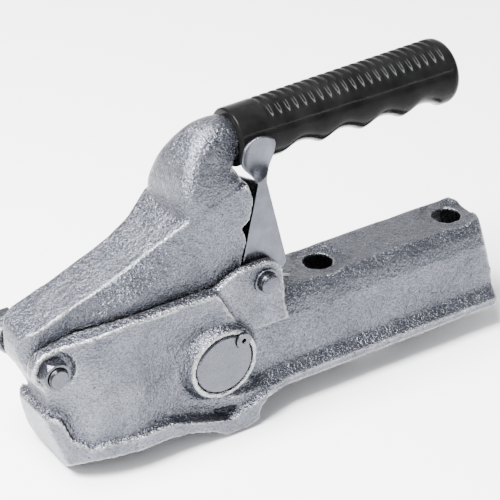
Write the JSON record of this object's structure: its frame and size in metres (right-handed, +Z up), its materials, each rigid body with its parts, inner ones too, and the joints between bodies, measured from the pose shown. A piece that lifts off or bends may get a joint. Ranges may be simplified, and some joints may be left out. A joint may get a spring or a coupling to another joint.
{
  "type": "trailer coupler",
  "caption": "Cast ball coupling head with pivoting ball jaw, folding handle with black grip, safety trigger and U-shaped drawbar shank.",
  "frame": {"origin": "centre of the 50 mm towing ball in the socket", "axes": "+X along the drawbar, from the socket to the trailer; +Z up, along the drawbar bolts; +Y completes the right-handed frame, so the nut and the disc of the jaw pin are on the -Y side"},
  "size_m": [0.2675, 0.0682, 0.161],
  "materials": {
    "galvanised_iron": "hot-dip galvanised, satin grey with bright worn edges",
    "black_grip": "gloss black moulded grip",
    "zinc_steel": "bright zinc plate",
    "machined_steel": "turned steel, zinc plated",
    "hardened_steel": "hardened steel, dark",
    "jaw_iron": "cast, greased seat",
    "bronze": "sintered bronze",
    "spring_steel": "zinc-plated spring wire",
    "pressed_steel": "pressed sheet, zinc plated"
  },
  "bodies": {
    "body": {"coupling_body": "galvanised_iron", "lever_bolt": "zinc_steel", "lever_nut": "zinc_steel", "lever_washer": "zinc_steel", "jaw_pin": "machined_steel", "jaw_pin_lock": "machined_steel", "jaw_spring": "spring_steel", "trigger_pin": "zinc_steel", "trigger_washers": "zinc_steel", "trigger_clip": "spring_steel", "trigger_spring": "spring_steel"},
    "handle": {"handle_lever": "galvanised_iron", "handle_grip": "black_grip", "lever_bush": "bronze", "locking_wedge": "hardened_steel", "wedge_rivets": "zinc_steel"},
    "jaw": {"ball_jaw": "jaw_iron", "jaw_bush": "bronze"},
    "trigger": {"trigger": "pressed_steel", "trigger_catch": "hardened_steel", "catch_rivets": "zinc_steel"}
  },
  "joints": [
    {"name": "handle_lift", "type": "hinge", "parent": "body", "child": "handle", "pos_m": [-0.035, 0, 0.0492], "axis": [0, -1, 0], "range_deg": [0, 60]},
    {"name": "jaw_open", "type": "hinge", "parent": "body", "child": "jaw", "pos_m": [0.0512, 0, 0.0272], "axis": [0, -1, 0], "range_deg": [0, 20]},
    {"name": "trigger_pull", "type": "hinge", "parent": "body", "child": "trigger", "pos_m": [0.0785, 0, 0.0618], "axis": [0, 1, 0], "range_deg": [0, 12], "stiffness_Nm_per_rad": 0.25, "springref_deg": -11.46}
  ],
  "couplings": [
    {"joint": "jaw_open", "follows": "handle_lift", "ratio": 0.33333}
  ]
}
